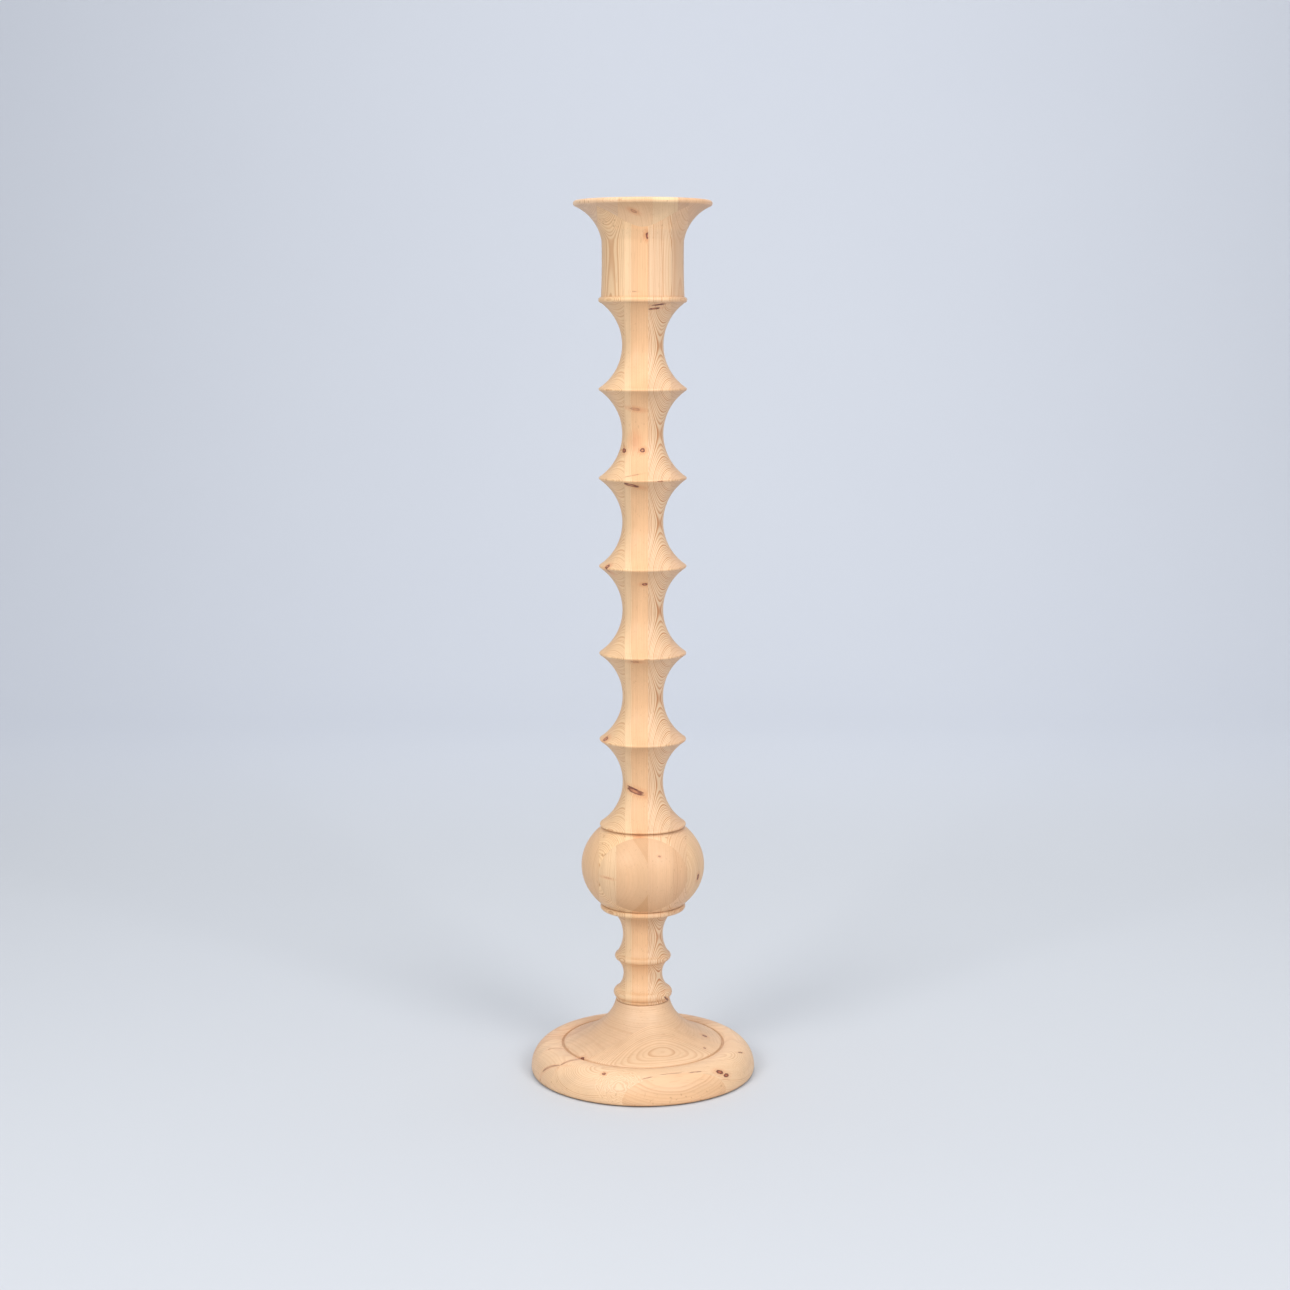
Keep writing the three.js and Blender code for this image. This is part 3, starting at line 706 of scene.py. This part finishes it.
mid_left_pine = pine(
    "mid_left_strip_pine",
    early=colour(240, 202, 157),
    pith=(95, -33),
    ring=1.9,
    contrast=0.22,
    wander=1.6,
    heart=(0.97, 0.86, 0.79, 1.0),
    heart_edge=108.7,
    edge=FIN_EDGE,
    creases=COLUMN_CREASES,
    knots=[
        SHARED_KNOT,
        ((-0.4, -25.9, 725.7), (2.7, 3.0, 2.3), (0, 0, 0), (1.0, 0.4, 0.7)),
        ((-9.6, -22.2, 735.0), (4.2, 6.0, 6.0), (0, 0, 0), (0.0, 0.1, 0.5)),
        ((-13.0, -41.5, 688.2), (9.5, 5.0, 1.5), (0, 14, 0), (0.9, 0.6, 0.5)),
        ((-12.0, -41.5, 698.6), (9.0, 3.0, 0.45), (0, -11, 0), (0.35, 0.3, 0.2)),
        ((2.2, -32.9, 576.3), (3.2, 3.0, 1.5), (0, 0, 0), (0.9, 0.8, 0.6)),
        ((-8.7, -29.5, 771.6), (6.5, 5.0, 1.6), (0, 8, 0), (0.25, 0.3, 0.5)),
        ((-8.7, -44.8, 490.2), (5.0, 4.0, 1.4), (0, 0, 0), (0.3, 0.3, 0.4)),
        ((-9.5, -22.0, 337.2), (11.5, 8.0, 2.8), (0, 19, 0), (0.75, 0.7, 0.5)),
        ((-12.5, -22.0, 340.6), (7.5, 8.0, 0.9), (0, 19, 0), (1.0, 0.7, 0.2)),
        ((-4.0, -46.0, 284.0), (3.4, 8.0, 5.0), (0, 0, 0), (0.0, 0.0, 0.7)),
        ((5.6, -45.8, 960.3), (2.4, 4.0, 3.6), (0, 0, 0), (0.9, 0.8, 0.7)),
        ((-9.0, -44.0, 900.0), (3.0, 3.0, 0.6), (0, 0, 0), (0.2, 0.3, 0.2)),
    ],
)
mid_left = sawn(core, (LEFT, -GLUE_FACES[0]), (RIGHT, GLUE_FACES[1]))
finished("strip_mid_left", mid_left, mid_left_pine, "stand", ["column_strip_mid_left"])

mid_right_pine = pine(
    "mid_right_strip_pine",
    early=colour(241, 206, 166),
    late=colour(200, 126, 70),
    pith=(73, -53),
    ring=1.25,
    contrast=0.85,
    wander=1.4,
    edge=FIN_EDGE,
    creases=COLUMN_CREASES,
    knots=[
        ((15.5, -36.0, 885.8), (9.5, 6.0, 1.0), (0, -8, 0), (1.0, 0.9, 0.3)),
        ((12.5, -36.0, 881.6), (6.5, 6.0, 0.9), (0, -6, 0), (1.0, 0.9, 0.3)),
        ((26.5, -16.0, 91.5), (1.0, 8.0, 6.5), (0, -25, 0), (0.9, 0.5, 0.2)),
        ((19.3, -45.5, 692.6), (4.0, 3.0, 0.6), (0, 0, 0), (0.5, 0.8, 0.2)),
    ],
)
STEM_TOP = 167  # the right strip starts here
mid_right = sawn(core, (LEFT, -GLUE_FACES[1]), (RIGHT, GLUE_FACES[2], STEM_TOP))
finished("strip_mid_right", mid_right, mid_right_pine, "stand", ["column_strip_mid_right"])

# ---- Right strip ----
# The fourth strip of the blank is a browner board. The hollows are cut deeper than its inner face, so what
# is left of it is a tip on each fin, a slice of the ball with its skirt, and a slice of the cup.
right_pine = pine(
    "right_strip_pine",
    early=colour(228, 188, 150),
    late=colour(196, 132, 84),
    pith=(150, -70),
    ring=1.8,
    contrast=0.35,
    wander=2,
    edge=FIN_EDGE,
    creases=COLUMN_CREASES,
)
SLICE_TOP = 344  # the saw comes out in a hollow above the ball, and in another under the cup
SLICE_FOOT = 842
TIP_REACH = 49  # above and below the edge of a fin
right = sawn(core, (LEFT, -GLUE_FACES[2]), (DOWN, -STEM_TOP))
ball_slice = sawn(right, (UP, SLICE_TOP))
finished("ball_slice_right", ball_slice, right_pine, "stand", ["ball_strip_right"])
cup_slice = sawn(right, (DOWN, -SLICE_FOOT))
finished("cup_slice_right", cup_slice, right_pine, "stand", ["cup_strip_right"])
for i, height in enumerate(FINS, 1):
    tip = sawn(right, (DOWN, TIP_REACH - height), (UP, height + TIP_REACH))
    finished(f"fin_point_{i}", tip, right_pine, "stand", [f"fin_tip_right_{i}"])
right.free()
core.free()

# ---- Cheeks ----
# Blocks glued on the four sides of the blank before turning, where the ball and the rim are wider than it.
# The left and right ones are solid. The front and back ones are glued up from four strips, each its own
# colour.
BALL_CHEEKS = [
    ("left", dict(early=colour(233, 190, 145), pith=(-150, 60), ring=2.4, contrast=0.3)),
    (
        "right",
        dict(
            early=colour(233, 192, 149),
            pith=(40, 120),
            ring=2.2,
            contrast=0.3,
            knots=[((63.4, -31.6, 239.0), (2.0, 2.0, 3.4), (0, 14, 0), (1.0, 0.9, 0.6))],
        ),
    ),
    (
        "strip_1",
        dict(
            early=colour(234, 195, 151),
            pith=(-170, -30),
            ring=2.2,
            contrast=0.3,
            knots=[((-40.5, -59.0, 244.9), (7.5, 5.0, 0.9), (0, 4, 0), (0.05, 0.3, 0.35))],
        ),
    ),
    (
        "strip_2",
        dict(
            early=colour(225, 179, 135),
            pith=(53, -3),
            ring=2.6,
            contrast=0.08,
            heart=(0.93, 0.87, 0.80, 1.0),
            heart_edge=80.5,
            wander=1.2,
        ),
    ),
    (
        "strip_3",
        dict(
            early=colour(229, 183, 140),
            pith=(160, -40),
            ring=2.2,
            contrast=0.2,
            wander=1.5,
            knots=[((18.8, -62.8, 270.7), (1.6, 2.0, 0.9), (0, 20, 0), (0.4, 0.6, 0.4))],
        ),
    ),
    ("strip_4", dict(early=colour(224, 178, 136), pith=(120, -30), ring=2.0, contrast=0.3)),
]
RIM_CHEEKS = [
    ("left", dict(early=colour(234, 198, 162), pith=(-160, -60), ring=2.2, contrast=0.4)),
    ("right", dict(early=colour(228, 186, 148), pith=(150, 40), ring=2.0, contrast=0.45)),
    ("strip_1", dict(early=colour(234, 196, 158), pith=(-60, 90), ring=2.0, contrast=0.3)),
    (
        "strip_2",
        dict(
            early=colour(233, 191, 148),
            pith=(-150, -20),
            ring=2.2,
            contrast=0.2,
            knots=[((-9.8, -61.9, 985.5), (4.0, 6.0, 1.4), (0, 25, 0), (0.3, 0.35, 0.6))],
        ),
    ),
    ("strip_3", dict(early=colour(239, 202, 159), pith=(170, -60), ring=2.2, contrast=0.2)),
    ("strip_4", dict(early=colour(226, 184, 146), pith=(120, 20), ring=1.9, contrast=0.4)),
]
BALL_FACES = (-HALF_BLANK, -30, 6, 34, HALF_BLANK)
RIM_FACES = (-HALF_BLANK, -27, 11, 38, HALF_BLANK)
BETWEEN = 600  # a height between the ball and the cup
RIM_EDGE = (77.4, 2.5)
PARTS = [
    ("ball", BALL_CHEEKS, BALL_FACES, (UP, BETWEEN), None),
    ("rim", RIM_CHEEKS, RIM_FACES, (DOWN, -BETWEEN), RIM_EDGE),
]
sides = {
    "left": sawn(column, (RIGHT, -HALF_BLANK)),
    "right": sawn(column, (LEFT, -HALF_BLANK)),
    "front": sawn(column, (BACK, -HALF_BLANK), (LEFT, HALF_BLANK), (RIGHT, HALF_BLANK)),
    "back": sawn(column, (FRONT, -HALF_BLANK), (LEFT, HALF_BLANK), (RIGHT, HALF_BLANK)),
}
column.free()
for part, cheeks, faces, end, edge in PARTS:
    for side, wood in cheeks:
        if side in sides:
            material = pine(f"{part}_{side}_pine", edge=edge, **wood)
            shape = sawn(sides[side], end)
            finished(f"{part}_{side}", shape, material, "stand", [f"{part}_cheek_{side}"])
            continue
        i = int(side[-1])
        between = [(LEFT, -faces[i - 1]), (RIGHT, faces[i])]
        for way in ("front", "back"):
            wood = dict(wood)
            if way == "back":
                wood["pith"] = (-wood["pith"][0] / 2, wood["pith"][1] + 40)
            material = pine(f"{part}_{way}_{i}_pine", edge=edge, **wood)
            shape = sawn(sides[way], end, *between)
            finished(f"{part}_{way}_{i}", shape, material, "stand", [f"{part}_{way}_strip_{i}"])
for side in sides.values():
    side.free()

# ---- Candle pan and spike ----
# A shallow brass pan, spun from sheet, that keeps wax off the wood, and a turned spike for the candle,
# riveted through a raised boss in the pan's middle. Both lift out of the cup together.
brass = metal("spun_brass", colour(214, 178, 98), colour(176, 138, 74))
PAN = 905.8  # its underside
PAN_RADIUS = 37
SHEET = 1.2
RIVET_HOLE = 2.35
pan = start(RIVET_HOLE, PAN + 3.2)
line(pan, (8.6, PAN + 3.2))
arc(pan, (9.6, PAN + 2.8), (12.6, PAN + 0.3), 0.5)
line(pan, (13.4, PAN), (34, PAN))
arc(pan, (36.12, PAN + 0.88), (PAN_RADIUS, PAN + 3), 0.4)
line(pan, (PAN_RADIUS, PAN + 13.4))
arc(pan, (PAN_RADIUS - SHEET / 2, PAN + 14), (PAN_RADIUS - SHEET, PAN + 13.4), 0.2)
line(pan, (PAN_RADIUS - SHEET, PAN + 3))
arc(pan, (35.27, PAN + 1.73), (34, PAN + SHEET), 0.4)
line(pan, (13.8, PAN + SHEET), (13.0, PAN + 1.5))
arc(pan, (10.2, PAN + 4.0), (9, PAN + 4.4), 0.5)
line(pan, (RIVET_HOLE, PAN + 4.4), (RIVET_HOLE, PAN + 3.2))
turned(pan, 144)
finished("wax_pan", pan, brass, "candle_insert", ["candle_pan"])

RIVET = PAN + 3.05  # the upper side of the rivet's head
FLANGE = PAN + 4.55  # the underside of the spike's flange
spike = start(0, RIVET - 1.4)
line(spike, (2.6, RIVET - 1.4))
arc(spike, (3.7, RIVET - 0.9), (4, RIVET), 0.3)
line(spike, (2.2, RIVET), (2.2, FLANGE), (6.5, FLANGE), (6.5, FLANGE + 1.0))
arc(spike, (6.3, FLANGE + 1.45), (5.9, FLANGE + 1.6), 0.2)
line(spike, (3.4, FLANGE + 1.6), (0.5, FLANGE + 32.6))
arc(spike, (0.3, FLANGE + 33.2), (0, FLANGE + 33.5), 0.2)
turned(spike, 64)
finished("candle_pin", spike, brass, "candle_insert", ["candle_spike"])

# ---- Room ----
# A pale seamless sweep of paper that bends up into the wall, soft light from above, from both sides and on
# the wall, and the camera, which looks down a little.
HALF_ROOM = 6
ROOM_FRONT = -5
BEND_START = 2.2
BEND_RADIUS = 1.6
WALL_HEIGHT = 4
room = bmesh.new()
floor = [room.verts.new((-HALF_ROOM, y, 0)) for y in (ROOM_FRONT, BEND_START)]
room.edges.new(floor)
bend = bmesh.ops.spin(
    room,
    geom=[floor[1]],
    cent=(-HALF_ROOM, BEND_START, BEND_RADIUS),
    axis=(1, 0, 0),
    angle=math.pi / 2,
    steps=24,
)
last = [v for v in bend["geom_last"] if isinstance(v, bmesh.types.BMVert)]
top = bmesh.ops.extrude_vert_indiv(room, verts=last)
bmesh.ops.translate(room, verts=top["verts"], vec=(0, 0, WALL_HEIGHT))
widened = bmesh.ops.extrude_edge_only(room, edges=room.edges[:])["geom"]
far_side = [v for v in widened if isinstance(v, bmesh.types.BMVert)]
bmesh.ops.translate(room, verts=far_side, vec=(2 * HALF_ROOM, 0, 0))
bmesh.ops.recalc_face_normals(room, faces=room.faces)
for face in room.faces:
    face.smooth = True
room_mesh = bpy.data.meshes.new("paper_sweep")
room.to_mesh(room_mesh)
room.free()
sweep_paper = bpy.data.objects.new("paper_sweep", room_mesh)
bpy.context.scene.collection.objects.link(sweep_paper)

paper = bpy.data.materials.new("pale_paper")
paper.use_nodes = True
tree = paper.node_tree
shader = tree.nodes["Principled BSDF"]
spot = tree.nodes.new("ShaderNodeTexCoord").outputs["Object"]
depth = add(tree, "ShaderNodeSeparateXYZ", {0: spot}).outputs["Y"]
# Painted light and shade on one sheet of paper: greyer in front, paler from 0.8 m back towards the wall.
far = ramp(tree, depth, 0.8, 2.3)
tint = mixed(tree, "MIX", far, colour(205, 207, 210), colour(222, 225, 231))
tint = mixed(tree, "MULTIPLY", noise(tree, spot, 1.2), tint, (0.97, 0.97, 0.98, 1.0))
tree.links.new(tint, shader.inputs["Base Color"])
shader.inputs["Roughness"].default_value = 0.75
room_mesh.materials.append(paper)

world = bpy.data.worlds.new("soft_room_light")
world.use_nodes = True
sky = world.node_tree.nodes["Background"].inputs
sky["Color"].default_value = (0.82, 0.88, 1.0, 1.0)
sky["Strength"].default_value = 0.31
bpy.context.scene.world = world


def softbox(name, place, target, size, power, tone=(1.0, 1.0, 1.0)):
    """A square lamp behind a diffuser, aimed at a point."""
    lamp = bpy.data.lights.new(name, "AREA")
    lamp.size = size
    lamp.energy = power
    lamp.color = tone
    lamp_object = bpy.data.objects.new(name, lamp)
    lamp_object.location = place
    lamp_object.rotation_euler = (Vector(target) - Vector(place)).to_track_quat("-Z", "Y").to_euler()
    bpy.context.scene.collection.objects.link(lamp_object)


softbox("overhead_softbox", (0, -0.4, 3.4), (0, 0, 0.4), 3.0, 63, (0.95, 0.98, 1.0))
softbox("left_softbox", (-1.9, -2.6, 2.3), (0, 0, 0.5), 1.4, 60)
softbox("right_softbox", (1.9, -2.6, 2.3), (0, 0, 0.5), 1.4, 60)
softbox("wall_softbox", (0.5, 1.2, 2.7), (0.5, 3.8, 0.9), 2.6, 22)

CAMERA_PITCH = math.radians(8.41)  # how far it looks down
camera_data = bpy.data.cameras.new("camera")
camera_data.lens = 60.0
camera_data.sensor_width = 36.0
camera = bpy.data.objects.new("camera", camera_data)
camera.location = (0.0025, -2.427, 0.8615)
camera.rotation_euler = (math.pi / 2 - CAMERA_PITCH, 0, 0)
bpy.context.scene.collection.objects.link(camera)
bpy.context.scene.camera = camera
bpy.context.scene.view_settings.view_transform = "Standard"
